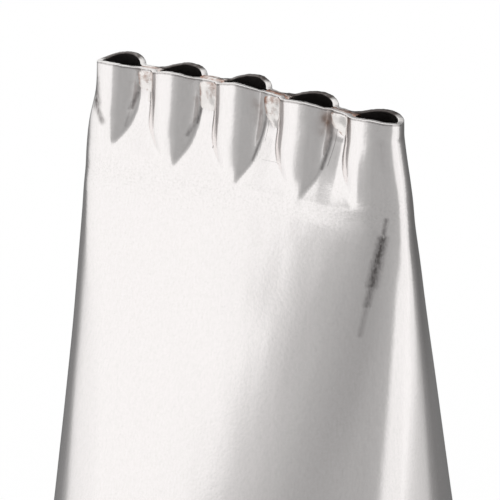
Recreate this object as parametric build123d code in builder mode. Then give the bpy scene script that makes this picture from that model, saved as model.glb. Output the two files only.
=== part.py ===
from build123d import *

import os

# A piping nozzle with five openings: a rolled cone of sheet steel, pressed flat at its tip.
# The round base narrows to a straight row of oval tubes.
# Between the tubes the two faces are pinched together and closed with a spot of solder.
# A weld closes the rolled sheet down the middle of the back, and the base edge is curled outward.
# The tubes stand in a row along X, the front faces -Y, and the base stands on Z = 0.
# Sizes are in millimetres.

# Sheet
sheet = 0.35  # thickness of the rolled sheet

# Body
nozzle_height = 48.0  # from the table to the rim of the tubes
base_radius = 14.4  # outside of the straight collar
collar_height = 3.0  # top of the straight collar
flat_foot = 2.0  # how wide each flat face starts, on top of the collar

# Curled base edge
curl_height = 1.8  # height of the curl
curl_width = 2.0  # from the bore to the outside of the curl
curl_corner = 0.7  # outside corner radius of the curl
curl_gap = 0.15  # gap between the turned edge and the collar

# Tubes
tube_count = 5
tube_pitch = 4.35
tube_width = 3.05  # outside, along the row
tube_depth = 2.35  # outside, across the row
ridge_length = 6.2  # how far below the rim the tubes run out, where the flat tip ends
run_out_half = 1.6  # half the body's depth there
ridge_tuck = 0.06  # how far inside the face a tube's foot ends
end_spread = 0.55  # how far each end of the body has widened where the tubes run out

# Pinched webs between the tubes
web_drop = 0.4  # top of a web, below the rim
pinch_height = 1.6  # how far down the two sheets of a web lie together
slit_half = 0.05  # half the slit where the two sheets part inside

# Solder spots
solder_drop = 0.12  # top of a spot, below the rim
solder_reach = 1.7  # how far a spot's blank hangs below the top of its web
solder_proud = 0.16  # thickness of a spot on each face of its web
solder_round = 0.14  # radius of a spot's long edges
solder_bite = 0.3  # how far a spot's blank reaches into the tube walls

# Weld down the back
seam_width = 0.6

# Overrun of every cut
overrun = 1.0

# Places along the row
row_half = (tube_count - 1) * tube_pitch / 2  # centre of the last tube
tube_places = [number * tube_pitch - row_half for number in range(tube_count)]
web_places = [place + tube_pitch / 2 for place in tube_places[:-1]]

# Levels
web_level = nozzle_height - web_drop
pinch_level = web_level - pinch_height
run_out_level = nozzle_height - ridge_length

# The body's round ends where the tubes run out, and the slopes below and above that level
run_out_centre = row_half + tube_width / 2 + end_spread - run_out_half
face_slope = (base_radius - run_out_half) / (run_out_level - collar_height)
groove_slope = (run_out_half - sheet) / (pinch_level - run_out_level)
level_sheet = sheet * (1 + face_slope**2) ** 0.5  # the sloping sheet, measured on the level
slit_level = pinch_level - (slit_half + level_sheet - sheet) / groove_slope

# Lines of the curl, through the middle of the sheet
collar_line = base_radius - sheet / 2
curl_line = base_radius - sheet + curl_width - sheet / 2

# Blanks of the weld and the solder spots
seam_reach = base_radius + curl_width
seam_height = nozzle_height + 2 * overrun
seam_align = (Align.CENTER, Align.MIN, Align.MIN)
spot_width = tube_pitch - tube_width + 2 * solder_bite
spot_depth = 2 * (sheet + solder_proud)
spot_height = web_drop - solder_drop + solder_reach
spot_align = (Align.CENTER, Align.CENTER, Align.MAX)


def body_form(wall, level_wall):
    """The round base, drawn flat: half a leaning cone to each end, and flat faces between them."""
    radius = base_radius - wall
    foot_depth = (radius**2 - (flat_foot / 2) ** 2) ** 0.5
    top_depth = run_out_half - level_wall
    outlines = (
        (collar_height, flat_foot / 2, foot_depth, radius),
        (run_out_level, run_out_centre, top_depth, run_out_centre + top_depth),
    )
    for side in (-1, 1):
        halves = []
        for level, corner, depth, reach in outlines:
            with BuildSketch(Plane.XY.offset(level)) as half:
                with BuildLine():
                    bow = ThreePointArc(
                        (side * corner, depth), (side * reach, 0), (side * corner, -depth)
                    )
                    Line(bow @ 1, bow @ 0)
                make_face()
            halves.append(half.sketch)
        loft(halves, ruled=True)
    middles = []
    for level, corner, depth, reach in outlines:
        with BuildSketch(Plane.XY.offset(level)) as middle:
            Rectangle(2 * corner, 2 * depth)
        middles.append(middle.sketch)
    loft(middles, ruled=True)


def slot_form(*levels):
    """Two flat faces with round ends, through the slots given from the bottom up."""
    slots = []
    for level, centre, depth in levels:
        with BuildSketch(Plane.XY.offset(level)) as slot:
            SlotCenterToCenter(2 * centre, 2 * depth)
        slots.append(slot.sketch)
    loft(slots, ruled=True)


def tube_form(place, wall, level_wall):
    """One tube from the rim down to where it runs out, just inside the body's face."""
    crest = run_out_half - ridge_tuck - level_wall
    rise = overrun if wall else 0
    flare = (crest + wall - tube_depth / 2) / ridge_length
    with BuildSketch(Plane.XY.offset(run_out_level)) as low:
        with Locations((place, 0)):
            Ellipse(tube_width / 2 - wall, crest)
    with BuildSketch(Plane.XY.offset(nozzle_height + rise)) as top:
        with Locations((place, 0)):
            Ellipse(tube_width / 2 - wall, tube_depth / 2 - flare * rise - wall)
    loft([low.sketch, top.sketch])


def end_form(side, wall, level_wall):
    """The outer half of an end tube, opening out into the round end of the body."""
    start = -90 if side > 0 else 90
    low_depth = run_out_half - level_wall
    halves = []
    for level, centre, width, depth in (
        (run_out_level, run_out_centre, low_depth, low_depth),
        (nozzle_height, row_half, tube_width / 2 - wall, tube_depth / 2 - wall),
    ):
        with BuildSketch(Plane.XY.offset(level)) as half:
            with BuildLine():
                oval = EllipticalCenterArc((side * centre, 0), width, depth, start, arc_size=180)
                Line(oval @ 1, oval @ 0)
            make_face()
        halves.append(half.sketch)
    loft(halves)


# The nozzle filled in, down to the curl
with BuildPart() as outer_form:
    body_form(0, 0)
    slot_form((run_out_level, run_out_centre, run_out_half), (pinch_level, row_half, sheet))
    slot_form((pinch_level, row_half, sheet), (web_level, row_half, sheet))
    for place in tube_places:
        tube_form(place, 0, 0)
    for side in (-1, 1):
        end_form(side, 0, 0)
    with BuildSketch(Plane.XY.offset(curl_corner)):
        Circle(base_radius)
    extrude(amount=collar_height - curl_corner)

# The space inside it
with BuildPart() as inner_form:
    body_form(sheet, level_sheet)
    slot_form(
        (run_out_level, run_out_centre, run_out_half - level_sheet),
        (slit_level, row_half, slit_half),
    )
    for place in tube_places:
        tube_form(place, sheet, level_sheet)
    for side in (-1, 1):
        end_form(side, sheet, level_sheet)
    with BuildSketch():
        Circle(base_radius - sheet)
    extrude(amount=collar_height)

# The whole wall, with the base edge turned outward, up and back towards the collar
with BuildPart() as wall_form:
    add(outer_form.part)
    with BuildSketch(Plane.XZ):
        with BuildLine():
            FilletPolyline(
                (collar_line, curl_height),
                (collar_line, sheet / 2),
                (curl_line, sheet / 2),
                (curl_line, curl_height - sheet / 2),
                (base_radius + curl_gap, curl_height - sheet / 2),
                radius=curl_corner - sheet / 2,
            )
        trace(line_width=sheet)
    revolve(axis=Axis.Z)
    add(inner_form.part, mode=Mode.SUBTRACT)

# The formed sheet, open down the back where the weld runs
with BuildPart() as nozzle_shell:
    add(wall_form.part)
    with Locations((0, 0, -overrun)):
        Box(seam_width, seam_reach, seam_height, align=seam_align, mode=Mode.SUBTRACT)
nozzle_shell.part.label = "nozzle_shell"

# The weld that closes the sheet, ground flush inside and out
with BuildPart() as seam_weld:
    add(wall_form.part)
    with Locations((0, 0, -overrun)):
        Box(seam_width, seam_reach, seam_height, align=seam_align, mode=Mode.INTERSECT)
seam_weld.part.label = "seam_weld"

# A solder spot over each web, fitted against the web and the tubes beside it
solder_spots = []
for number, place in enumerate(web_places, start=1):
    with BuildPart() as web_solder:
        with Locations((place, 0, nozzle_height - solder_drop)):
            Box(spot_width, spot_depth, spot_height, align=spot_align)
        fillet(web_solder.edges().filter_by(Axis.X), radius=solder_round)
        add(outer_form.part, mode=Mode.SUBTRACT)
    web_solder.part.label = f"web_solder_{number}"
    solder_spots.append(web_solder.part)

os.makedirs("parts", exist_ok=True)
for piece in [nozzle_shell.part, seam_weld.part, *solder_spots]:
    export_step(piece, f"parts/{piece.label}.step")
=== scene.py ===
import bisect
import math

import bmesh
import bpy
from mathutils import Matrix, Vector, noise


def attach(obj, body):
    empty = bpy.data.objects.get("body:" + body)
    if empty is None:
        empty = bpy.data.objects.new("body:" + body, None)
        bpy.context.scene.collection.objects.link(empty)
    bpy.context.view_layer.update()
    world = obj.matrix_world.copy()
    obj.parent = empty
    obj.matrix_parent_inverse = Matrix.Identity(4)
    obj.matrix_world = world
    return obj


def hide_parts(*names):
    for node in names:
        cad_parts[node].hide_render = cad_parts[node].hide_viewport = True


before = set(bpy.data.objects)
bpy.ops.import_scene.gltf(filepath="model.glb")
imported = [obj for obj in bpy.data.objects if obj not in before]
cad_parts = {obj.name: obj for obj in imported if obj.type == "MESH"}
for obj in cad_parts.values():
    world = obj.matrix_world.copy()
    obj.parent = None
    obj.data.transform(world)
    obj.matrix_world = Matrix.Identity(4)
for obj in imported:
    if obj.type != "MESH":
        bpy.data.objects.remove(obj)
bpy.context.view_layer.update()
print("frame loaded")

# small helpers

def between(first, second, share):
    return first + (second - first) * share

def fade(low, high, value):
    # 0 at low, 1 at high and beyond, eased in between
    share = min(1.0, max(0.0, (value - low) / (high - low)))
    return share * share * (3 - 2 * share)

def swell(marks, value):
    # up from 0 to 1 between the first two marks, and down again between the last two
    return fade(marks[0], marks[1], value) * (1 - fade(marks[2], marks[3], value))

def hump(middle, width, value):
    # 1 in the middle, falling away like a bell
    return math.exp(-((value - middle) / width) ** 2)

def waver(waves, *place):
    # smooth random waves laid over each other, the same in every run
    # each has its pace along every axis, in waves per mm or step, and its size
    total = 0.0
    for paces, size in waves:
        total += size * noise.noise(Vector([pace * along for pace, along in zip(paces, place)]))
    return total

def softMax(a, b, width):
    bend = max(0.0, 1 - abs(a - b) / width)
    return max(a, b) + bend * bend * width / 4

def softMin(a, b, width):
    return -softMax(-a, -b, width)

def nearest(places, x):
    return min(range(len(places)), key=lambda number: abs(x - places[number]))

def blendValues(places, values, x):
    # eased steps from one value to the next along the row
    if x <= places[0]:
        return values[0]
    for number in range(len(places) - 1):
        if x <= places[number + 1]:
            share = fade(places[number], places[number + 1], x)
            return between(values[number], values[number + 1], share)
    return values[-1]

def spreadAlong(points, count):
    # count + 1 points at even steps along a chain of points
    lengths = [0.0]
    for first, second in zip(points, points[1:]):
        lengths.append(lengths[-1] + math.dist(first, second))
    spread = []
    for step in range(count + 1):
        goal = lengths[-1] * step / count
        index = min(max(bisect.bisect_left(lengths, goal), 1), len(points) - 1)
        gap = lengths[index] - lengths[index - 1]
        share = (goal - lengths[index - 1]) / gap if gap else 0.0
        spread.append(tuple(between(a, b, share) for a, b in zip(points[index - 1], points[index])))
    return spread

def meshFrom(bm, name, smooth=True):
    for face in bm.faces:
        face.smooth = smooth
    mesh = bpy.data.meshes.new(name)
    bm.to_mesh(mesh)
    bm.free()
    return mesh

def newObject(name, data):
    thing = bpy.data.objects.new(name, data)
    bpy.context.scene.collection.objects.link(thing)
    return thing

def newPiece(name, mesh, material, nodes):
    piece = newObject(name, mesh)
    piece.data.materials.append(material)
    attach(piece, "root")
    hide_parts(*nodes)
    return piece

def hexColour(text):
    # sRGB hex to linear
    parts = [int(text[i:i + 2], 16) / 255 for i in (1, 3, 5)]
    return tuple(p / 12.92 if p <= 0.04045 else ((p + 0.055) / 1.055) ** 2.4 for p in parts) + (1.0,)

def addNode(tree, kind, settings=None, inputs=None):
    # a node with its settings and its inputs, each a value or another node's output
    node = tree.nodes.new(kind)
    for key, value in (settings or {}).items():
        setattr(node, key, value)
    for key, value in (inputs or {}).items():
        if isinstance(value, bpy.types.NodeSocket):
            tree.links.new(value, node.inputs[key])
        else:
            node.inputs[key].default_value = value
    return node

def newMaterial(name):
    material = bpy.data.materials.new(name)
    material.use_nodes = True
    material.node_tree.nodes.clear()
    return material, material.node_tree

def cells(size):
    # a noise pattern's scale for cells of this many mm
    return 1000 / size

# a colour Mix node's sockets go by number: its two colours, and what comes out
mixFirst = 6
mixSecond = 7
mixResult = 2

# the body: all in mm, depth is counted down from the plane of the rims
body = {
    "height": 48.0,
    "sheet": 0.35,
    "edgeRound": 0.05,  # the cut edge's worn corners
    "baseRadius": 14.4,
    "collarDepth": 45.0,  # where the straight collar starts
    "bendDepth": 6.1,  # where the flat tip bends out into the faces
    "bendSoft": 1.3,
    "tipEnd": 8.0,  # below this depth nothing of the tubes is left
    "tipHalf": 1.175,  # half of the flat tip's thickness at the rims
    "tipFlare": 0.07,
    "endWidth": 1.52,  # each end of the row is half an oval
    "endSpread": 0.62,  # what it gains down to the bend
    "spreadDepths": (0.9, 6.0),
    "rowHalf": 8.7,
    "tipBow": 0.004,  # how far the flat faces are bowed, as a share of their half width
    "faceBow": 0.135,  # reached a little below the bend
    "bowDepths": (4.2, 16.5),
    "waist": 1.15,  # how far the sides are hollow between bend and collar
    "waistLow": 1.5,  # above 1 the hollow sits lower down
    "leanDepths": [0.0, 1.5, 4.0, 7.0, 10.0, 18.0, 32.0, 44.0],
    "leanShifts": [0.0, -0.02, -0.14, -0.07, 0.0, 0.09, 0.09, 0.0],  # it isn't quite straight
    "crowd": 2.6,  # spaces an outline's points evenly, on the flat faces and round the ends
    "joinSlack": 0.02,  # the bowed tip is this much longer than the row
    "collarJoin": 0.8,  # share of a quarter of the collar that the columns of the face take
}
# columns and rows of the sheet, for a quarter of its round
counts = {"outline": 160, "centre": 80, "end": 20, "fine": 60, "tipRows": 50, "faceRows": 34, "curl": 4}

def bend(depth):
    # 0 above the bend, then one mm for each mm below it, with a soft start
    soft = body["bendSoft"]
    past = depth - body["bendDepth"]
    return 0.0 if past < -soft else past if past > soft else (past + soft) ** 2 / (4 * soft)

def plainSizes(depth):
    # half length of the flat part, width and depth of the round ends, and the bow of the faces
    below = body["collarDepth"] - body["bendDepth"]
    share = min(1.0, bend(depth) / below)
    depth = min(depth, body["collarDepth"])
    waist = body["waist"] * share ** body["waistLow"] * (1 - share)
    straight = body["rowHalf"] * (1 - share)
    width = body["endWidth"] + body["endSpread"] * fade(*body["spreadDepths"], depth)
    half = body["tipHalf"] + body["tipFlare"] * min(depth, body["bendDepth"])
    bow = between(body["tipBow"], body["faceBow"], fade(*body["bowDepths"], depth))
    endWidth = between(width, body["baseRadius"], share) - waist
    endHalf = between(half, body["baseRadius"], share) - waist - bow * straight / 2
    return straight, endWidth, endHalf, bow

def plainOutline(depth):
    # a quarter of the unpressed body, from the middle of a face to the middle of an end
    straight, width, half, bow = plainSizes(depth)
    points = []
    for step in range(counts["outline"] + 1):
        turn = math.pi / 2 * (step / counts["outline"]) ** body["crowd"]
        across, along = math.sin(turn), max(0.0, math.cos(turn))
        flat = max(1e-9, math.hypot(straight * across, straight * bow * along))
        end = math.hypot(width * across, half * along)
        points.append((straight ** 2 * across / flat + width ** 2 * across / end,
                       (straight * bow) ** 2 * along / flat + half ** 2 * along / end))
    points[-1] = (points[-1][0], 0.0)
    return points

def heightAt(points, x):
    index = min(max(bisect.bisect_left([p[0] for p in points], x), 1), len(points) - 1)
    first, second = points[index - 1], points[index]
    return between(first[1], second[1], (x - first[0]) / max(1e-9, second[0] - first[0]))

tubes = {
    "pitch": 4.35,
    "places": [-8.7, -4.35, 0.0, 4.35, 8.7],
    "halfWidths": [1.55, 1.55, 1.52, 1.6, 1.52],
    "frontRun": [5.15, 5.75, 6.05, 6.2, 6.3],  # how far each ridge runs down the front
    "backRun": [6.0, 6.2, 6.1, 6.0, 6.0],
    "shift": [0.16, -0.03, 0.03, 0.06, 0.05],
    "shiftDepths": (1.0, 9.0),  # where the shift dies out
    "boxy": 0.10,  # how much squarer the ridges get per mm
    "flank": 4.0,  # how steeply a tube's form falls away beyond its oval
    "narrowing": 1.9,  # length of the pointed foot of each ridge
    "thinning": [0.8, 0.8, 0.8, 0.8, 0.0],  # how much of its width is gone there
    "thinLate": 1.6,
    "leftThins": 0.3,  # the left flank takes this share of it
    "leans": [0.42, 0.34, 0.22, 0.22, 0.0],  # how far the point sits to the right of the tube
    "leftWider": 0.22,  # the left flank is wider by this share
    "turn": 0.15,  # half the width over which left becomes right
    "corners": [0.26, 0.24, 0.12, 0.12, 0.26],  # rounding at the right foot of each tube
    "softCorner": 0.6,  # and at the left foot
    # how much of the rounding is lost at the point, and where that starts and ends above it
    "cornerLoss": (0.8, 3.0, 0.6),
    "softLoss": (0.85, 3.4, 0.8),
    "proud": 0.015,  # a ridge may stand this far above the face
    "blend": 0.06,
    "runOut": 0.5,
}
webs = {
    "places": [-6.525, -2.175, 2.175, 6.525],
    "half": 0.375,  # half a web's thickness: two sheets
    "pinch": 1.2,  # how far down the two sheets of a web stay together
    "rampLate": 1.45,  # above 1 the grooves stay deep and then come up fast
    "folds": [0.0, 0.0, 0.02, 0.11],  # how steeply the floor of each groove is folded
    "foldPlace": 0.1,  # right of the web
    "foldHalf": 0.9,
    "foldDepths": (1.0, 2.6, 3.8, 6.6),
}

def footCorner(size, loss, run, depth):
    # the rounding at a tube's foot, less of it near the point
    share, start, end = loss
    return size * (1 - share * fade(run - start, run - end, depth))

def ridge(x, depth, plain, number, run):
    # the oval of one tube, squarer with depth and pointed at its foot, and how far left x is
    point = max(0.0, (depth - run + tubes["narrowing"]) / tubes["narrowing"])
    beside = x - tubes["places"][number] - tubes["leans"][number] * min(1.0, point)
    onLeft = fade(tubes["turn"], -tubes["turn"], beside)
    thin = tubes["thinning"][number] * min(1.0, point) ** tubes["thinLate"]
    thin *= between(1, tubes["leftThins"], onLeft)
    away = abs(beside) / (tubes["halfWidths"][number] * (1 - thin) * (1 + tubes["leftWider"] * onLeft))
    if away >= 1:
        return -(away - 1) * tubes["flank"], onLeft
    crest = heightAt(plain, abs(tubes["places"][number]))
    return crest * (1 - away ** (2 + tubes["boxy"] * depth)) ** 0.5, onLeft

def pressedHalfDepth(x, depth, plain, runs):
    # the pinched webs and the oval tubes, under the plain face
    face = heightAt(plain, abs(x))
    run = blendValues(tubes["places"], runs, x)
    climb = min(1.0, max(0.0, depth - webs["pinch"]) / (run - webs["pinch"]))
    groove = between(webs["half"], face, fade(0.0, 1.0, climb ** webs["rampLate"]))
    web = nearest(webs["places"], x)
    fromFold = abs(x - webs["places"][web] - webs["foldPlace"])
    fold = webs["folds"][web] * max(0.0, 1 - fromFold / webs["foldHalf"])
    groove -= fold * swell(webs["foldDepths"], depth)
    number = nearest(tubes["places"], x)
    oval, onLeft = ridge(x, depth, plain, number, run)
    crisp = footCorner(tubes["corners"][number], tubes["cornerLoss"], run, depth)
    soft = footCorner(tubes["softCorner"], tubes["softLoss"], run, depth)
    pressed = softMax(groove, oval, between(crisp, soft, onLeft))
    pressed = softMin(pressed, face + tubes["proud"], tubes["blend"])
    return between(pressed, face, fade(run - tubes["runOut"], run + tubes["runOut"], depth))

def tipColumns(depth, hand, plain, runs):
    # every half pitch has as many columns, so that they keep to the grooves
    halfPitches = len(tubes["places"]) - 1
    reach = tubes["pitch"] / 2
    columns = [(0.0, pressedHalfDepth(0.0, depth, plain, runs))]
    for half in range(halfPitches):
        xs = [half * reach + reach * step / counts["fine"] for step in range(counts["fine"] + 1)]
        pressed = [(x, pressedHalfDepth(hand * x, depth, plain, runs)) for x in xs]
        columns += spreadAlong(pressed, counts["centre"] // halfPitches)[1:]
    outer = [point for point in plain if point[0] > columns[-1][0]]
    return columns + spreadAlong([columns[-1]] + outer, counts["end"])[1:]

def bodyColumns(depth, plain):
    # the join between face and end moves round the outline on its way down to the collar
    total = sum(math.dist(a, b) for a, b in zip(plain, plain[1:]))
    tipJoin = (body["rowHalf"] + body["joinSlack"]) / (total + body["joinSlack"])
    goal = between(tipJoin, body["collarJoin"], fade(body["tipEnd"], body["collarDepth"], depth)) * total
    cut = 0.0
    split = 1
    while cut + math.dist(plain[split - 1], plain[split]) < goal:
        cut += math.dist(plain[split - 1], plain[split])
        split += 1
    share = (goal - cut) / math.dist(plain[split - 1], plain[split])
    join = tuple(between(a, b, share) for a, b in zip(plain[split - 1], plain[split]))
    face = spreadAlong(plain[:split] + [join], counts["centre"])
    return face + spreadAlong([join] + plain[split:], counts["end"])[1:]

def faceColumns(depth, side):
    # the columns of one face, from the middle of the left end to the middle of the right end
    runs = tubes["frontRun"] if side < 0 else tubes["backRun"]
    plain = plainOutline(depth)
    if depth < body["tipEnd"]:
        left, right = (tipColumns(depth, hand, plain, runs) for hand in (-1, 1))
    else:
        left = right = bodyColumns(depth, plain)
    return [(-x, y) for x, y in reversed(left)] + right[1:]

rims = {
    "tubeDrop": [0.43, 0.46, 0.51, 0.91, 1.23],  # each tube's own level below the highest rim
    "frontLift": [0.22, 0.28, 0.34, 0.32, 0.24],
    "backLift": [0.36, 0.32, 0.34, 0.36, 0.29],
    "settle": 4.0,  # depth where the rims' unevenness has died out
    "meet": 0.5,  # front and back rim meet over this much of the ends
    "burr": 0.035,
    "waves": (((2.3, 5.0, 0.7), 1.0), ((7.0, 9.0, 3.1), 0.6)),
    "firstRows": [0.0, 0.05, 0.1, 0.16],  # close rows under the cut edge
    "rest": 0.24,
    "line": (0.04, 0.13),  # depths of the thin dark line of painted shade under the front rim
    "shineDepth": 0.3,
    # the front of the cut edge is painted bright: a painted highlight
    "highlightFront": 0.3,
    "shineRight": (0.7, 1.25),  # the cut edge is rubbed bright this far right of a tube's middle
    "shineShare": 0.9,
}
hand = {
    "waver": 0.010,  # how far the hand formed surface wavers
    "waves": (((0.45, 0.3, 4.0), 1.0), ((1.1, 0.8, 7.0), 0.5)),
    "gone": (30.0, 44.0),  # depths where that dies out
    "ends": (0.3, 1.2),  # how far from the middle of the ends it sets in
    "thinTip": 0.8,  # what is less deep than this wavers in proportion
}
# the right of the front face falls back a little
cheek = {"from": 4.6, "reach": 3.8, "fall": 0.006, "depths": (3.5, 8.5, 9.5, 15.0), "edge": 1.4}

def rimDrop(x, side):
    # how far the rim at x stands below the highest rim
    level = blendValues(tubes["places"], rims["tubeDrop"], x)
    number = nearest(tubes["places"], x)
    lifts = rims["frontLift"] if side < 0 else rims["backLift"]
    away = abs(x - tubes["places"][number]) / tubes["halfWidths"][number]
    bump = lifts[number] * max(0.0, 1 - away * away)
    return level - bump + rims["burr"] * waver(rims["waves"], x, side, 1)

def shiftAt(x, depth):
    lean = blendValues(body["leanDepths"], body["leanShifts"], depth)
    shift = blendValues(tubes["places"], tubes["shift"], x)
    return lean + shift * (1 - fade(*tubes["shiftDepths"], depth))

def cheekFall(x, y, depth):
    past = max(0.0, x - cheek["from"])
    reach = cheek["reach"]
    past = past * past if past < reach else reach * (2 * past - reach)
    return cheek["fall"] * past * swell(cheek["depths"], depth) * fade(0.0, cheek["edge"], y)

def skinPoint(x, y, depth, side):
    # a point of the outer skin: uneven rims and a hand formed surface
    front, back = rimDrop(x, -1), rimDrop(x, 1)
    drop = between((front + back) / 2, front if side < 0 else back, fade(0.0, rims["meet"], abs(y)))
    z = body["height"] - depth - drop * (1 - fade(0.0, rims["settle"], depth))
    if side < 0:
        y -= cheekFall(x, y, depth)
    wobble = hand["waver"] * waver(hand["waves"], x, depth, side)
    wobble *= fade(*hand["ends"], abs(y)) / max(hand["thinTip"], abs(y))
    push = 1 + wobble * (1 - fade(*hand["gone"], depth))
    return Vector((x + shiftAt(x, depth), side * y * push, z)) / 1000

# the turned edge has the number of a material of its own, as it shows the other side of the sheet
curl = {"corner": 0.35, "bottom": 0.35, "top": 1.45, "outside": 15.7, "lip": 14.55,
        "paint": 3, "paintTop": 1.5}

def curlPath():
    # the outside skin from the collar round to the lip, as radius and height
    corner = curl["corner"]
    low, high = curl["bottom"] + corner, curl["top"] - corner
    path = []
    for centreR, centreZ, first in ((body["baseRadius"] + corner, low, 180),
                                    (curl["outside"] - corner, low, 270),
                                    (curl["outside"] - corner, high, 360)):
        for step in range(counts["curl"] + 1):
            angle = math.radians(first + 90 * step / counts["curl"])
            path.append((centreR + corner * math.cos(angle), centreZ + corner * math.sin(angle)))
    path.append((curl["lip"], curl["top"]))
    return path

def rowDepths():
    tipRows, faceRows = counts["tipRows"], counts["faceRows"]
    depths = list(rims["firstRows"])
    depths += [between(rims["rest"], body["tipEnd"], row / tipRows) for row in range(tipRows)]
    depths += [between(body["tipEnd"], body["collarDepth"], row / faceRows) for row in range(faceRows + 1)]
    return depths

# the rubbed band where the forming tool ended
scuffs = {"depth": 6.4, "reach": 1.1}
# the sheet is browned on both sides of each web, in mm from the web, more at the right end of the row
heat = {"left": -0.7, "leftWidth": 0.3, "right": 0.52, "rightWidth": 0.2, "rightShare": 0.6,
        "from": 0.8, "to": 2.2, "later": (0.0, 2.0), "widthLater": 0.12, "toLater": 0.8}

def heatAt(x, depth):
    if abs(x) >= body["rowHalf"]:
        return 0.0
    later = fade(*heat["later"], x)
    beside = min((x - place for place in webs["places"]), key=abs)
    left = hump(heat["left"], heat["leftWidth"] + heat["widthLater"] * later, beside)
    right = heat["rightShare"] * hump(heat["right"], heat["rightWidth"], beside)
    return max(left, right) * (1 - fade(heat["from"], heat["to"] + heat["toLater"] * later, depth))

def rimHighlightAndRubAt(x, y, depth, side):
    # the cut edge carries a painted highlight in front, and is rubbed bright at the right end of each
    # opening
    if depth >= rims["shineDepth"]:
        return 0.0
    beside = min((x - place for place in tubes["places"]), key=abs)
    front = fade(-rims["highlightFront"], rims["highlightFront"], -side * y)
    return max(front, rims["shineShare"] * fade(*rims["shineRight"], beside))

def formShell():
    # a plain rolled cone is cut into rows, then each row is pressed to its outline
    rows = rowDepths()
    path = curlPath()
    quarter = counts["centre"] + counts["end"]
    around = 4 * quarter
    rowCount = len(rows) + len(path)
    bm = bmesh.new()
    bmesh.ops.create_cone(bm, cap_ends=False, segments=around, depth=rowCount - 1,
                          radius1=body["baseRadius"], radius2=body["rowHalf"])
    upright = [e for e in bm.edges if abs(e.verts[0].co.z - e.verts[1].co.z) > 1]
    bmesh.ops.subdivide_edges(bm, edges=upright, cuts=rowCount - 2, use_grid_fill=True)
    tint = bm.verts.layers.float.new("heatTint")
    scuff = bm.verts.layers.float.new("scuff")
    # painted shade: a thin dark line under the front rim
    line = bm.verts.layers.float.new("rimShadeLine")
    # painted highlight along the front of the cut edge, with rubbing at the right ends
    highlightAndRub = bm.verts.layers.float.new("rimHighlightAndRub")
    outlines = {side: [faceColumns(depth, side) for depth in rows] for side in (-1, 1)}
    for vert in bm.verts:
        row = round((rowCount - 1) / 2 - vert.co.z)
        column = round(math.atan2(vert.co.y, vert.co.x) / (2 * math.pi) * around) % around
        # columns run anticlockwise from the middle of the right end: first the back, then the front
        side, place = (1, 2 * quarter - column) if column <= 2 * quarter else (-1, column - 2 * quarter)
        x, y = outlines[side][min(row, len(rows) - 1)][place]
        if row < len(rows):
            depth = rows[row]
            vert.co = skinPoint(x, y, depth, side)
            vert[tint] = heatAt(x, depth)
            vert[scuff] = hump(scuffs["depth"], scuffs["reach"], depth)
            vert[line] = 1.0 if side < 0 and rims["line"][0] < depth < rims["line"][1] else 0.0
            vert[highlightAndRub] = rimHighlightAndRubAt(x, y, depth, side)
        else:
            radius, z = path[row - len(rows)]
            size = math.hypot(x, y)
            vert.co = Vector((x / size * radius, side * y / size * radius, z)) / 1000
    bmesh.ops.recalc_face_normals(bm, faces=bm.faces)
    aboveCurl = [face for face in bm.faces if face.calc_center_median().z > 2 * curl["top"] / 1000]
    behind = max(aboveCurl, key=lambda face: face.calc_center_median().y)
    if behind.normal.y < 0:
        bmesh.ops.reverse_faces(bm, faces=bm.faces)
    for face in bm.faces:
        if face.calc_center_median().z < curl["paintTop"] / 1000:
            face.material_index = curl["paint"]
    return meshFrom(bm, "nozzleSheet")

seam = {
    "start": 0.12,
    "pastCollar": 1.0,  # it ends this far below the top of the collar
    "backing": 0.1,
    "width": 0.62,
    "proud": 0.05,
    "sunk": 0.012,
    "ripple": 0.008,
    "pace": 0.42,  # from one ripple to the next
    "lag": 0.12,  # the ripples are bowed
    "wander": (((0.3, 0.35, 2.0), 0.05),),
    "ragged": (((3.0, 1.6, 5.0), 0.22),),
    "lumpy": (((1.0, 1.1, 8.0), 0.3),),
    "columns": 12,
    "rows": 420,
}

def formSeam():
    # a low ground bead down the middle of the back, rippled along its length
    end = body["collarDepth"] + seam["pastCollar"]
    bm = bmesh.new()
    bmesh.ops.create_grid(bm, x_segments=seam["columns"], y_segments=seam["rows"], size=0.5)
    for vert in bm.verts:
        across = vert.co.x * 2
        depth = between(seam["start"], end, vert.co.y + 0.5)
        half = seam["width"] / 2 * (1 + waver(seam["ragged"], across, depth, 1))
        x = half * across + waver(seam["wander"], 1, depth, 1)
        plain = plainOutline(depth)
        inTip = depth < body["tipEnd"]
        y = pressedHalfDepth(x, depth, plain, tubes["backRun"]) if inTip else heightAt(plain, abs(x))
        crown = seam["proud"] * (1 + waver(seam["lumpy"], across, depth, 1))
        turn = (depth + seam["lag"] * across * across) * 2 * math.pi / seam["pace"]
        rise = (crown + seam["ripple"] * math.sin(turn)) * (1 - across * across)
        vert.co = skinPoint(x, y, depth, 1) + Vector((0, rise - seam["sunk"], 0)) / 1000
    bmesh.ops.recalc_face_normals(bm, faces=bm.faces)
    if sum(face.normal.y for face in bm.faces) < 0:
        bmesh.ops.reverse_faces(bm, faces=bm.faces)
    return meshFrom(bm, "seamBead")

solderSpots = [
    {"lift": 0.02, "reach": 2.3, "halfWidth": 0.80, "proud": 0.08},
    {"lift": 0.10, "reach": 3.0, "halfWidth": 0.82, "proud": 0.10},
    {"lift": 0.05, "reach": 2.6, "halfWidth": 0.80, "proud": 0.08},
    {"lift": 0.02, "reach": 1.9, "halfWidth": 0.82, "proud": 0.08},
]
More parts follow.
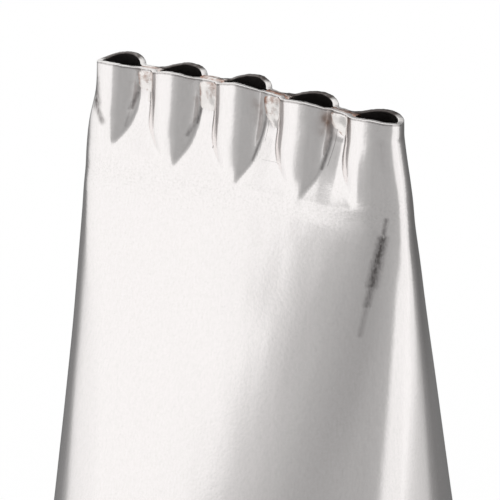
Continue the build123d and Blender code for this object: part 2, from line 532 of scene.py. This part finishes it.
# what all spots share; lengths down a spot are shares of its reach
solderForm = {
    "cuts": 13,
    "top": 0.16,  # where the rounded top reaches its full thickness
    "topThin": 0.35,
    "waves": (((1.9, 1.3, 1.7), 1.0), ((4.4, 3.0, 4.1), 0.2)),
    "lumpy": 0.25,
    "edgeThin": 0.55,
    "edgeLonger": 0.5,
    "tailRagged": 0.35,
    "tuck": 0.07,  # how far its tail dips into the web
    "sag": 0.07,
    "sagRagged": 0.02,
    "fluxEdge": (0.5, 0.85),
    "fluxTop": 0.1,
    "fluxTopShare": 0.8,
    "fluxGone": (0.4, 0.8),
}

def formSolder(number):
    # a lump of solder run over a web and down both of its faces
    spot = solderSpots[number]
    form = solderForm
    place = webs["places"][number]
    bm = bmesh.new()
    bmesh.ops.create_cube(bm, size=2.0)
    bmesh.ops.subdivide_edges(bm, edges=bm.edges, cuts=form["cuts"], use_grid_fill=True)
    flux = bm.verts.layers.float.new("fluxEdge")
    for vert in bm.verts:
        across, through, down = vert.co.x, vert.co.y, (1 - vert.co.z) / 2
        depth = between(-spot["lift"], spot["reach"], down)
        level = max(0.0, depth)
        x = place + across * spot["halfWidth"]
        runs = tubes["frontRun" if through < 0 else "backRun"]
        web = pressedHalfDepth(place, level, plainOutline(level), runs)
        rough = waver(form["waves"], x, through, depth)
        edge = across * across
        cap = between(form["topThin"], 1.0, math.sqrt(1 - (1 - min(1.0, down / form["top"])) ** 2))
        tail = down * (1 + form["edgeLonger"] * edge - form["tailRagged"] * rough)
        lump = spot["proud"] * cap * max(0.0, 1 - tail ** 2)
        lump *= (1 + form["lumpy"] * rough) * (1 - form["edgeThin"] * edge)
        half = web * cap + lump - form["tuck"] * min(1.0, tail) ** 3
        skin = skinPoint(x, half, depth, -1 if through < 0 else 1)
        sag = (form["sagRagged"] * rough - form["sag"] * edge) * (1 - down) / 1000
        vert.co = Vector((skin.x, skin.y * abs(through), skin.z + sag))
        beside = fade(*form["fluxEdge"], abs(across))
        onTop = form["fluxTopShare"] * fade(form["fluxTop"], 0.0, down)
        vert[flux] = max(beside, onTop) * (1 - fade(*form["fluxGone"], down))
    bmesh.ops.recalc_face_normals(bm, faces=bm.faces)
    return meshFrom(bm, "webSolder" + str(number + 1))

# materials: sizes of patterns and heights of bumps are in mm

def finishMetal(material, colour, roughness, normal=None):
    # bare metal with the colour, roughness and bumps worked out so far
    tree = material.node_tree
    inputs = {"Base Color": colour, "Metallic": 1.0, "Roughness": roughness}
    if normal:
        inputs["Normal"] = normal
    shader = addNode(tree, "ShaderNodeBsdfPrincipled", inputs=inputs)
    addNode(tree, "ShaderNodeOutputMaterial", inputs={"Surface": shader.outputs["BSDF"]})
    return material

def groundWeld():
    # a bead of weld ground nearly flush: duller than the sheet, with scratches along it
    weld = {"colour": "#CFCBC8", "blotch": "#B9B2AD", "blotchSize": 1.429, "roughness": 0.3,
            "scratch": 0.12, "longer": 0.12, "bump": 0.02, "strength": 0.25}
    material, tree = newMaterial("groundWeldSteel")
    place = addNode(tree, "ShaderNodeTexCoord")
    stretch = addNode(tree, "ShaderNodeMapping", inputs={
        "Vector": place.outputs["Object"], "Scale": (1.0, 1.0, weld["longer"])})
    lines = addNode(tree, "ShaderNodeTexNoise", inputs={
        "Vector": stretch.outputs[0], "Scale": cells(weld["scratch"]), "Detail": 3.0})
    bump = addNode(tree, "ShaderNodeBump", inputs={
        "Height": lines.outputs["Fac"], "Strength": weld["strength"], "Distance": weld["bump"] / 1000})
    blotch = addNode(tree, "ShaderNodeTexNoise", inputs={
        "Vector": place.outputs["Object"], "Scale": cells(weld["blotchSize"]), "Detail": 3.0})
    tone = addNode(tree, "ShaderNodeMix", {"data_type": "RGBA"}, {
        "Factor": blotch.outputs["Fac"],
        mixFirst: hexColour(weld["blotch"]), mixSecond: hexColour(weld["colour"])})
    return finishMetal(material, tone.outputs[mixResult], weld["roughness"], bump.outputs["Normal"])

def runSolder():
    # soft solder, run and left as it set: lumpy, bright on top, browned by flux along its edges
    solder = {"colour": "#F6F2EF", "flux": "#A07C6C", "roughness": 0.26, "lump": 1.0, "bump": 0.03,
              "strength": 0.15, "burn": 0.9091, "edgeBurn": 0.2, "burnt": (0.54, 0.74)}
    material, tree = newMaterial("runSolder")
    place = addNode(tree, "ShaderNodeTexCoord")
    lumps = addNode(tree, "ShaderNodeTexNoise", inputs={
        "Vector": place.outputs["Object"], "Scale": cells(solder["lump"]), "Detail": 4.0})
    burn = addNode(tree, "ShaderNodeTexNoise", inputs={
        "Vector": place.outputs["Object"], "Scale": cells(solder["burn"]), "Detail": 5.0, "Roughness": 0.65})
    edges = addNode(tree, "ShaderNodeAttribute", {"attribute_name": "fluxEdge"})
    burnt = addNode(tree, "ShaderNodeMath", {"operation": "MULTIPLY_ADD"}, {
        0: edges.outputs["Fac"], 1: solder["edgeBurn"], 2: burn.outputs["Fac"]})
    stain = addNode(tree, "ShaderNodeMapRange", inputs={
        "Value": burnt.outputs[0], "From Min": solder["burnt"][0], "From Max": solder["burnt"][1]})
    tone = addNode(tree, "ShaderNodeMix", {"data_type": "RGBA"}, {
        "Factor": stain.outputs["Result"],
        mixFirst: hexColour(solder["colour"]), mixSecond: hexColour(solder["flux"])})
    bump = addNode(tree, "ShaderNodeBump", inputs={
        "Height": lumps.outputs["Fac"], "Strength": solder["strength"], "Distance": solder["bump"] / 1000})
    return finishMetal(material, tone.outputs[mixResult], solder["roughness"], bump.outputs["Normal"])

# marks on the front, as seen from the front: rub marks of the forming tool, a pit and a scratch, and painted
# shade down the tubes' right flanks; x and z of both ends, half width, darkness
strokes = [
    # the long rub down the right of the face
    ((10.0, 41.5), (9.88, 40.4), 0.24, 0.6),
    ((9.88, 40.4), (9.74, 39.15), 0.48, 0.9),
    ((9.74, 39.15), (9.62, 37.9), 0.54, 0.85),
    ((9.62, 37.9), (9.48, 36.8), 0.38, 0.6),
    ((9.48, 36.8), (9.34, 35.2), 0.30, 0.3),
    # painted shade down the right flanks of the tubes, beside the solder
    ((-6.95, 47.0), (-7.13, 46.0), 0.20, 0.35),
    ((-7.12, 46.1), (-7.40, 45.2), 0.20, 0.6),
    ((-7.40, 45.2), (-7.62, 44.2), 0.14, 0.25),
    ((-2.62, 46.6), (-2.80, 45.7), 0.18, 0.35),
    ((-2.78, 45.9), (-2.98, 45.0), 0.22, 0.7),
    ((-2.98, 45.2), (-3.34, 44.3), 0.22, 0.5),
    ((1.66, 46.3), (1.40, 44.9), 0.15, 0.5),
    ((1.40, 44.9), (1.08, 43.5), 0.12, 0.5),
    ((5.98, 46.9), (5.90, 45.3), 0.2, 0.5),
    ((5.90, 45.4), (5.62, 43.7), 0.2, 0.65),
    ((1.92, 46.9), (1.62, 44.6), 0.04, 0.5),
    ((6.42, 46.6), (5.92, 43.9), 0.04, 0.6),
    # the left of the first tube
    ((-9.85, 46.5), (-9.60, 45.3), 0.80, 1.0),
    ((-9.60, 45.3), (-9.02, 44.4), 0.45, 0.75),
    # a pit and a thin scratch
    ((-1.66, 43.80), (-1.62, 43.92), 0.07, 1.0),
    ((1.69, 43.62), (2.9, 43.60), 0.025, 0.4),
]
# how far a stroke's edge wanders, and where it ends and is full, as shares of its half width
strokeEdge = {"wander": 0.4, "ends": 0.66, "full": -0.25}

def addStroke(tree, flat, ragged, stroke):
    # 1 along the line from first to last on the front, 0 beyond a ragged edge
    first, last, width, dark = stroke
    start = Vector((first[0], 0.0, first[1])) / 1000
    line = Vector((last[0], 0.0, last[1])) / 1000 - start
    away = addNode(tree, "ShaderNodeVectorMath", {"operation": "SUBTRACT"}, {0: flat, 1: start})
    share = addNode(tree, "ShaderNodeVectorMath", {"operation": "DOT_PRODUCT"}, {
        0: away.outputs[0], 1: line / line.length_squared})
    held = addNode(tree, "ShaderNodeMath", {"operation": "MULTIPLY", "use_clamp": True}, {
        0: share.outputs["Value"], 1: 1.0})
    along = addNode(tree, "ShaderNodeVectorMath", {"operation": "SCALE"}, {
        0: line, "Scale": held.outputs[0]})
    gap = addNode(tree, "ShaderNodeVectorMath", {"operation": "DISTANCE"}, {
        0: away.outputs[0], 1: along.outputs[0]})
    wandering = addNode(tree, "ShaderNodeMath", {"operation": "MULTIPLY_ADD"}, {
        0: ragged, 1: -strokeEdge["wander"] * width / 1000, 2: gap.outputs["Value"]})
    mask = addNode(tree, "ShaderNodeMapRange", {"interpolation_type": "SMOOTHSTEP"}, {
        "Value": wandering.outputs[0], "From Min": strokeEdge["ends"] * width / 1000,
        "From Max": strokeEdge["full"] * width / 1000, "To Max": dark})
    return mask.outputs["Result"]

def satinSteel():
    # rolled stainless sheet with a fine satin grain: soft edged reflections that shimmer a little
    steel = {
        "colour": "#FAF6F5", "roughness": 0.14, "roughnessSwing": 0.03,
        "grain": 0.2, "bump": 0.0055, "strength": 0.5,
        "heat": "#94796A", "cloud": 1.25, "spotty": (0.45, 0.7),
        # a dulled mottle, with streaks drawn up the nozzle
        "mottle": "#F2EFED", "mottleSize": 0.125, "streak": 0.11765, "streakLonger": 0.16,
        "dulled": (0.85, 1.5),
        # the dark tone of the rub marks, and of the painted shade on the tubes' right flanks
        "rubAndShade": "#4A4341", "speck": 0.125, "ragged": 0.11111, "brushed": 0.5, "specks": (0.4, 0.6),
        "speckLight": 0.72, "frontFrom": 0.1,
        # drawn coarser than real scratches, so that they show
        "scratch": 0.16667, "scratchLonger": (0.18, 0.6, 1.0), "scratchHeight": 2.5,
        "fleck": "#EDEAE8", "fleckSize": 0.14286, "fleckMore": 0.12, "flecked": (0.6, 0.85),
        # the colour of the thin line of painted shade under the rim
        "rim": "#6A6360",
    }
    material, tree = newMaterial("satinSteel")
    place = addNode(tree, "ShaderNodeTexCoord")
    grain = addNode(tree, "ShaderNodeTexNoise", inputs={
        "Vector": place.outputs["Object"], "Scale": cells(steel["grain"]), "Detail": 2.0})
    # heat tint beside the solder
    tinted = addNode(tree, "ShaderNodeAttribute", {"attribute_name": "heatTint"})
    cloud = addNode(tree, "ShaderNodeTexNoise", inputs={
        "Vector": place.outputs["Object"], "Scale": cells(steel["cloud"]), "Detail": 4.0})
    spotty = addNode(tree, "ShaderNodeMapRange", inputs={
        "Value": cloud.outputs["Fac"], "From Min": steel["spotty"][0], "From Max": steel["spotty"][1]})
    browned = addNode(tree, "ShaderNodeMath", {"operation": "MULTIPLY"}, {
        0: tinted.outputs["Fac"], 1: spotty.outputs["Result"]})
    # uneven polish: a fine mottle and faint streaks that run up the nozzle
    drawn = addNode(tree, "ShaderNodeMapping", inputs={
        "Vector": place.outputs["Object"], "Scale": (1.0, 1.0, steel["streakLonger"])})
    streak = addNode(tree, "ShaderNodeTexNoise", inputs={
        "Vector": drawn.outputs[0], "Scale": cells(steel["streak"]), "Detail": 3.0})
    mottle = addNode(tree, "ShaderNodeTexNoise", inputs={
        "Vector": place.outputs["Object"], "Scale": cells(steel["mottleSize"]), "Detail": 3.0,
        "Roughness": 0.7})
    summed = addNode(tree, "ShaderNodeMath", {"operation": "ADD"}, {
        0: streak.outputs["Fac"], 1: mottle.outputs["Fac"]})
    dulled = addNode(tree, "ShaderNodeMapRange", inputs={
        "Value": summed.outputs[0], "From Min": steel["dulled"][0], "From Max": steel["dulled"][1]})
    plain = addNode(tree, "ShaderNodeMix", {"data_type": "RGBA"}, {
        "Factor": dulled.outputs["Result"],
        mixFirst: hexColour(steel["colour"]), mixSecond: hexColour(steel["mottle"])})
    warm = addNode(tree, "ShaderNodeMix", {"data_type": "RGBA"}, {
        "Factor": browned.outputs[0],
        mixFirst: plain.outputs[mixResult], mixSecond: hexColour(steel["heat"])})
    # dark strokes broken up into specks, on the front only: rub marks of the forming tool, a pit and a
    # scratch, and painted shade on the tubes' right flanks
    split = addNode(tree, "ShaderNodeSeparateXYZ", inputs={0: place.outputs["Object"]})
    flat = addNode(tree, "ShaderNodeVectorMath", {"operation": "MULTIPLY"}, {
        0: place.outputs["Object"], 1: (1.0, 0.0, 1.0)})
    brushed = addNode(tree, "ShaderNodeMapping", inputs={
        "Vector": place.outputs["Object"], "Scale": (1.0, 1.0, steel["brushed"])})
    speckle = addNode(tree, "ShaderNodeTexNoise", inputs={
        "Vector": brushed.outputs[0], "Scale": cells(steel["speck"]), "Detail": 3.0})
    ragged = addNode(tree, "ShaderNodeTexNoise", inputs={
        "Vector": brushed.outputs[0], "Scale": cells(steel["ragged"]), "Detail": 4.0, "Roughness": 0.7})
    marked = None
    for stroke in strokes:
        mask = addStroke(tree, flat.outputs[0], ragged.outputs["Fac"], stroke)
        if marked:
            darker = addNode(tree, "ShaderNodeMath", {"operation": "MAXIMUM"}, {0: marked, 1: mask})
            mask = darker.outputs[0]
        marked = mask
    front = addNode(tree, "ShaderNodeMapRange", inputs={
        "Value": split.outputs["Y"], "From Min": steel["frontFrom"] / 1000,
        "From Max": -steel["frontFrom"] / 1000})
    onFront = addNode(tree, "ShaderNodeMath", {"operation": "MULTIPLY"}, {
        0: marked, 1: front.outputs["Result"]})
    specks = addNode(tree, "ShaderNodeMapRange", inputs={
        "Value": speckle.outputs["Fac"], "From Min": steel["specks"][0], "From Max": steel["specks"][1],
        "To Min": steel["speckLight"], "To Max": 1.0})
    kept = addNode(tree, "ShaderNodeMath", {"operation": "MULTIPLY"}, {
        0: specks.outputs["Result"], 1: onFront.outputs[0]})
    rubbedAndShaded = addNode(tree, "ShaderNodeMix", {"data_type": "RGBA"}, {
        "Factor": kept.outputs[0],
        mixFirst: warm.outputs[mixResult], mixSecond: hexColour(steel["rubAndShade"])})
    # the rubbed band: fine scratches across the face
    band = addNode(tree, "ShaderNodeAttribute", {"attribute_name": "scuff"})
    stretch = addNode(tree, "ShaderNodeMapping", inputs={
        "Vector": place.outputs["Object"], "Scale": steel["scratchLonger"]})
    scratches = addNode(tree, "ShaderNodeTexNoise", inputs={
        "Vector": stretch.outputs[0], "Scale": cells(steel["scratch"]), "Detail": 3.0, "Roughness": 0.7})
    bandScratch = addNode(tree, "ShaderNodeMath", {"operation": "MULTIPLY"}, {
        0: band.outputs["Fac"], 1: scratches.outputs["Fac"]})
    height = addNode(tree, "ShaderNodeMath", {"operation": "MULTIPLY_ADD"}, {
        0: bandScratch.outputs[0], 1: steel["scratchHeight"], 2: grain.outputs["Fac"]})
    # faint grey flecks, most of them in the rubbed band
    dots = addNode(tree, "ShaderNodeTexNoise", inputs={
        "Vector": place.outputs["Object"], "Scale": cells(steel["fleckSize"]), "Detail": 3.0,
        "Roughness": 0.6})
    more = addNode(tree, "ShaderNodeMath", {"operation": "MULTIPLY_ADD"}, {
        0: band.outputs["Fac"], 1: steel["fleckMore"], 2: dots.outputs["Fac"]})
    fleck = addNode(tree, "ShaderNodeMapRange", inputs={
        "Value": more.outputs[0], "From Min": steel["flecked"][0], "From Max": steel["flecked"][1]})
    flecked = addNode(tree, "ShaderNodeMix", {"data_type": "RGBA"}, {
        "Factor": fleck.outputs["Result"],
        mixFirst: rubbedAndShaded.outputs[mixResult], mixSecond: hexColour(steel["fleck"])})
    # painted shade: the thin dark line under each front rim, broken up
    rim = addNode(tree, "ShaderNodeAttribute", {"attribute_name": "rimShadeLine"})
    rimShadeBroken = addNode(tree, "ShaderNodeMath", {"operation": "MULTIPLY"}, {
        0: rim.outputs["Fac"], 1: ragged.outputs["Fac"]})
    tone = addNode(tree, "ShaderNodeMix", {"data_type": "RGBA"}, {
        "Factor": rimShadeBroken.outputs[0],
        mixFirst: flecked.outputs[mixResult], mixSecond: hexColour(steel["rim"])})
    rough = addNode(tree, "ShaderNodeMapRange", inputs={
        "Value": cloud.outputs["Fac"], "To Min": steel["roughness"] - steel["roughnessSwing"],
        "To Max": steel["roughness"] + steel["roughnessSwing"]})
    bump = addNode(tree, "ShaderNodeBump", inputs={
        "Height": height.outputs[0], "Strength": steel["strength"], "Distance": steel["bump"] / 1000})
    return finishMetal(material, tone.outputs[mixResult], rough.outputs["Result"], bump.outputs["Normal"])

def cutEdge():
    # the sheared edge of the sheet: duller than its faces, with a painted highlight in front and rubbed
    # bright at the right ends
    # the bright tone serves the nicks and rubbing, and the painted highlight in front
    edge = {"wornAndHighlit": "#EFECEA", "dull": "#59524F", "wearAndHighlight": (0.5, 1.3), "roughness": 0.36, "nick": 0.24,
            "bump": 0.02, "strength": 0.4}
    material, tree = newMaterial("cutEdgeSteel")
    place = addNode(tree, "ShaderNodeTexCoord")
    nicks = addNode(tree, "ShaderNodeTexNoise", inputs={
        "Vector": place.outputs["Object"], "Scale": cells(edge["nick"]), "Detail": 4.0, "Roughness": 0.7})
    # painted highlight along the front, and rubbing at the right ends
    wornAndHighlit = addNode(tree, "ShaderNodeAttribute", {"attribute_name": "rimHighlightAndRub"})
    patchy = addNode(tree, "ShaderNodeMath", {"operation": "ADD"}, {
        0: nicks.outputs["Fac"], 1: wornAndHighlit.outputs["Fac"]})
    wearAndHighlight = addNode(tree, "ShaderNodeMapRange", inputs={
        "Value": patchy.outputs[0], "From Min": edge["wearAndHighlight"][0], "From Max": edge["wearAndHighlight"][1]})
    tone = addNode(tree, "ShaderNodeMix", {"data_type": "RGBA"}, {
        "Factor": wearAndHighlight.outputs["Result"],
        mixFirst: hexColour(edge["dull"]), mixSecond: hexColour(edge["wornAndHighlit"])})
    bump = addNode(tree, "ShaderNodeBump", inputs={
        "Height": nicks.outputs["Fac"], "Strength": edge["strength"], "Distance": edge["bump"] / 1000})
    return finishMetal(material, tone.outputs[mixResult], edge["roughness"], bump.outputs["Normal"])

def shadedInside():
    # the inside is painted a dark grey, painted shade that keeps the openings nearly black as if deep in
    # shadow
    inside = {"colour": "#5A5654", "roughness": 0.42, "roughnessSwing": 0.1, "mottle": 1.111}
    material, tree = newMaterial("shadedInsideSteel")
    place = addNode(tree, "ShaderNodeTexCoord")
    mottle = addNode(tree, "ShaderNodeTexNoise", inputs={
        "Vector": place.outputs["Object"], "Scale": cells(inside["mottle"]), "Detail": 4.0})
    rough = addNode(tree, "ShaderNodeMapRange", inputs={
        "Value": mottle.outputs["Fac"], "To Min": inside["roughness"] - inside["roughnessSwing"],
        "To Max": inside["roughness"] + inside["roughnessSwing"]})
    return finishMetal(material, hexColour(inside["colour"]), rough.outputs["Result"])

# the pieces

steelPaint = satinSteel()
shell = newPiece("nozzleShell", formShell(), steelPaint, ["nozzle_shell"])
for paint in (shadedInside(), cutEdge(), steelPaint):
    shell.data.materials.append(paint)
wall = shell.modifiers.new("wall", "SOLIDIFY")
wall.thickness = body["sheet"] / 1000
wall.offset = -1.0
wall.use_even_offset = True
# the inner skin takes the dark inside paint: painted shade
wall.material_offset = 1
wall.material_offset_rim = 2
edge = shell.modifiers.new("edge", "BEVEL")
edge.width = body["edgeRound"] / 1000
edge.segments = 2
edge.limit_method = "ANGLE"
edge.angle_limit = math.radians(60)
print("shell formed")

bead = newPiece("seamBead", formSeam(), groundWeld(), ["seam_weld"])
backing = bead.modifiers.new("backing", "SOLIDIFY")
backing.thickness = seam["backing"] / 1000
backing.offset = -1.0
solderPaint = runSolder()
for number in range(len(solderSpots)):
    nodes = ["web_solder_" + str(number + 1)]
    spot = newPiece("webSolder" + str(number + 1), formSolder(number), solderPaint, nodes)
    rounding = spot.modifiers.new("rounding", "SUBSURF")
    rounding.levels = 1
    rounding.render_levels = 1
print("seam and solder run")

# camera: where the photograph was taken from, aimed at a point given across and up from the origin
view = {"azimuth": 34.0, "elevation": 17.8, "roll": 0.78, "distance": 0.262, "across": 0.00009,
        "up": 0.03776, "pixelsPerMm": 17.65, "pixels": 500, "sensor": 36.0, "clip": 0.01}

def placeCamera():
    azimuth, elevation, roll = (math.radians(view[key]) for key in ("azimuth", "elevation", "roll"))
    right = Vector((math.cos(azimuth), math.sin(azimuth), 0))
    ahead = Vector((-math.sin(azimuth), math.cos(azimuth), 0))
    look = ahead * math.cos(elevation) - Vector((0, 0, math.sin(elevation)))
    up = right.cross(look)
    target = right * view["across"] + Vector((0, 0, view["up"]))
    camera = bpy.data.cameras.new("camera")
    camera.sensor_width = view["sensor"]
    camera.lens = view["pixelsPerMm"] * 1000 * view["distance"] * view["sensor"] / view["pixels"]
    camera.clip_start = view["clip"]
    holder = newObject("camera", camera)
    rolledRight = right * math.cos(roll) - up * math.sin(roll)
    rolledUp = right * math.sin(roll) + up * math.cos(roll)
    turned = Matrix((rolledRight, rolledUp, -look)).transposed()
    holder.matrix_world = Matrix.Translation(target - look * view["distance"]) @ turned.to_4x4()
    bpy.context.scene.camera = holder

placeCamera()

# studio: a white room, a grey card round the front and dark flags behind both sides
# each card: the heights of its rows in mm, then its uprights from left to right,
# each an azimuth (0 is the front, 90 the right) and a shade, one for all rows or one for every row
studio = {
    "room": 1.0,
    "floorRadius": 1.2,
    "floorLift": 0.7,  # how much of the floor's shadow the background white takes out
    "cards": {
        "frontCard": {"radius": 110.0, "heights": (0, 28, 41, 50, 60, 68, 110), "uprights": (
            ((-41, -34, -28, -25, -24, -29, -32), 1.0),
            ((-36, -29, -22, -20, -20.5, -25.5, -28), (0.50, 0.49, 0.66, 0.68, 0.70, 0.70, 0.68)),
            ((-14, -14, -13, -13, -15, -16, -16), (0.44, 0.45, 0.54, 0.55, 0.50, 0.50, 0.50)),
            (0, (0.40, 0.41, 0.43, 0.44, 0.42, 0.42, 0.42)),
            (16, (0.37, 0.42, 0.37, 0.38, 0.38, 0.38, 0.38)),
            (34, (0.35, 0.42, 0.35, 0.36, 0.36, 0.36, 0.36)),
            (56, (0.39, 0.43, 0.41, 0.41, 0.41, 0.41, 0.41)),
            (70, (0.45, 0.47, 0.47, 0.47, 0.47, 0.47, 0.47)),
            (77, (0.86, 0.94, 0.92, 0.92, 0.92, 0.92, 0.92)),
            (95, (0.90, 0.98, 0.96, 0.96, 0.96, 0.96, 0.96)),
        )},
        "rightFlag": {"radius": 62.0, "heights": (0, 14, 24, 30, 35, 41, 110), "uprights": (
            ((94, 94, 108, 100, 98, 104, 104), (0.9, 0.9, 0.96, 0.92, 0.92, 0.9, 0.9)),
            ((104, 104, 119, 112, 107, 119, 119), (0.70, 0.72, 0.82, 0.86, 0.72, 0.84, 0.84)),
            ((127, 127, 127, 119, 114, 126, 126), (0.56, 0.58, 0.42, 0.26, 0.34, 0.36, 0.36)),
            ((135, 135, 136, 132, 132, 138, 138), (0.28, 0.28, 0.22, 0.18, 0.22, 0.22, 0.22)),
            ((148, 148, 148, 148, 148, 150, 150), (0.20, 0.20, 0.14, 0.14, 0.16, 0.2, 0.2)),
            (216, (0.16, 0.16, 0.14, 0.14, 0.16, 0.3, 0.3)),
        )},
        "leftFlag": {"radius": 62.0, "heights": (0, 14, 20, 26, 29, 32, 36, 50), "uprights": (
            (-146, (0.14, 0.14, 0.14, 0.15, 0.15, 0.16, 0.16, 0.2)),
            ((-100, -100, -101, -99, -94, -105, -129, -130),
             (0.24, 0.24, 0.23, 0.22, 0.22, 0.24, 0.26, 0.4)),
            ((-91, -91, -95, -93, -89, -99, -120, -120),
             (0.38, 0.38, 0.37, 0.35, 0.35, 0.42, 0.66, 0.7)),
            ((-84, -84, -88, -86, -82, -91, -102, -102),
             (0.80, 0.80, 0.80, 0.80, 0.80, 0.80, 0.80, 0.82)),
            ((-76, -76, -79, -78, -74, -80, -82, -82),
             (0.90, 0.90, 0.90, 0.92, 0.93, 0.94, 0.95, 0.96)),
            ((-54, -56, -57, -58, -59, -60, -60, -60),
             (0.95, 0.95, 0.96, 0.97, 0.98, 1.0, 1.0, 1.0)),
        )},
    },
}

def addCard(name, setting):
    # an upright arc round the nozzle, painted from upright to upright
    heights, radius = setting["heights"], setting["radius"]
    lastRow = len(heights) - 1
    uprights = []
    for pair in setting["uprights"]:
        uprights.append([v if isinstance(v, tuple) else (v,) * len(heights) for v in pair])
    spans = len(uprights) - 1
    bm = bmesh.new()
    bmesh.ops.create_grid(bm, x_segments=12 * spans, y_segments=lastRow, size=0.5)
    shade = bm.verts.layers.float.new("shade")
    for vert in bm.verts:
        row = round((vert.co.y + 0.5) * lastRow)
        along = (vert.co.x + 0.5) * spans
        number = min(int(along + 0.001), spans - 1)
        share = along - number
        (azimuthA, shadeA), (azimuthB, shadeB) = uprights[number], uprights[number + 1]
        angle = math.radians(between(azimuthA[row], azimuthB[row], share) - 90)
        vert.co = Vector((radius * math.cos(angle), radius * math.sin(angle), heights[row])) / 1000
        vert[shade] = between(shadeA[row], shadeB[row], share)
    card = newObject(name, meshFrom(bm, name, smooth=False))
    material, tree = newMaterial(name + "Paper")
    tone = addNode(tree, "ShaderNodeAttribute", {"attribute_name": "shade"})
    glow = addNode(tree, "ShaderNodeEmission", inputs={"Strength": tone.outputs["Fac"]})
    addNode(tree, "ShaderNodeOutputMaterial", inputs={"Surface": glow.outputs[0]})
    card.data.materials.append(material)
    card.visible_camera = False
    card.visible_diffuse = False
    card.visible_shadow = False

def addFloor():
    # a pale floor whose shadow is mostly lifted, so that it runs into the background
    bm = bmesh.new()
    bmesh.ops.create_circle(bm, cap_ends=True, segments=96, radius=studio["floorRadius"])
    floor = newObject("floor", meshFrom(bm, "floor", smooth=False))
    material, tree = newMaterial("paleFloor")
    paint = addNode(tree, "ShaderNodeBsdfDiffuse", inputs={"Color": (1, 1, 1, 1)})
    white = addNode(tree, "ShaderNodeEmission", inputs={"Strength": 1.0})
    ray = addNode(tree, "ShaderNodeLightPath")
    seen = addNode(tree, "ShaderNodeMath", {"operation": "MAXIMUM"}, {
        0: ray.outputs["Is Camera Ray"], 1: ray.outputs["Is Glossy Ray"]})
    lift = addNode(tree, "ShaderNodeMath", {"operation": "MULTIPLY"}, {
        0: seen.outputs[0], 1: studio["floorLift"]})
    mix = addNode(tree, "ShaderNodeMixShader", inputs={
        0: lift.outputs[0], 1: paint.outputs[0], 2: white.outputs[0]})
    addNode(tree, "ShaderNodeOutputMaterial", inputs={"Surface": mix.outputs[0]})
    floor.data.materials.append(material)

def setStudio():
    world = bpy.data.worlds.new("studio")
    world.use_nodes = True
    tree = world.node_tree
    tree.nodes.clear()
    room = addNode(tree, "ShaderNodeBackground", inputs={
        "Color": (1, 1, 1, 1), "Strength": studio["room"]})
    addNode(tree, "ShaderNodeOutputWorld", inputs={"Surface": room.outputs[0]})
    bpy.context.scene.world = world
    addFloor()
    for name, setting in studio["cards"].items():
        addCard(name, setting)

setStudio()
bpy.context.scene.view_settings.view_transform = "Standard"
print("scene ready")
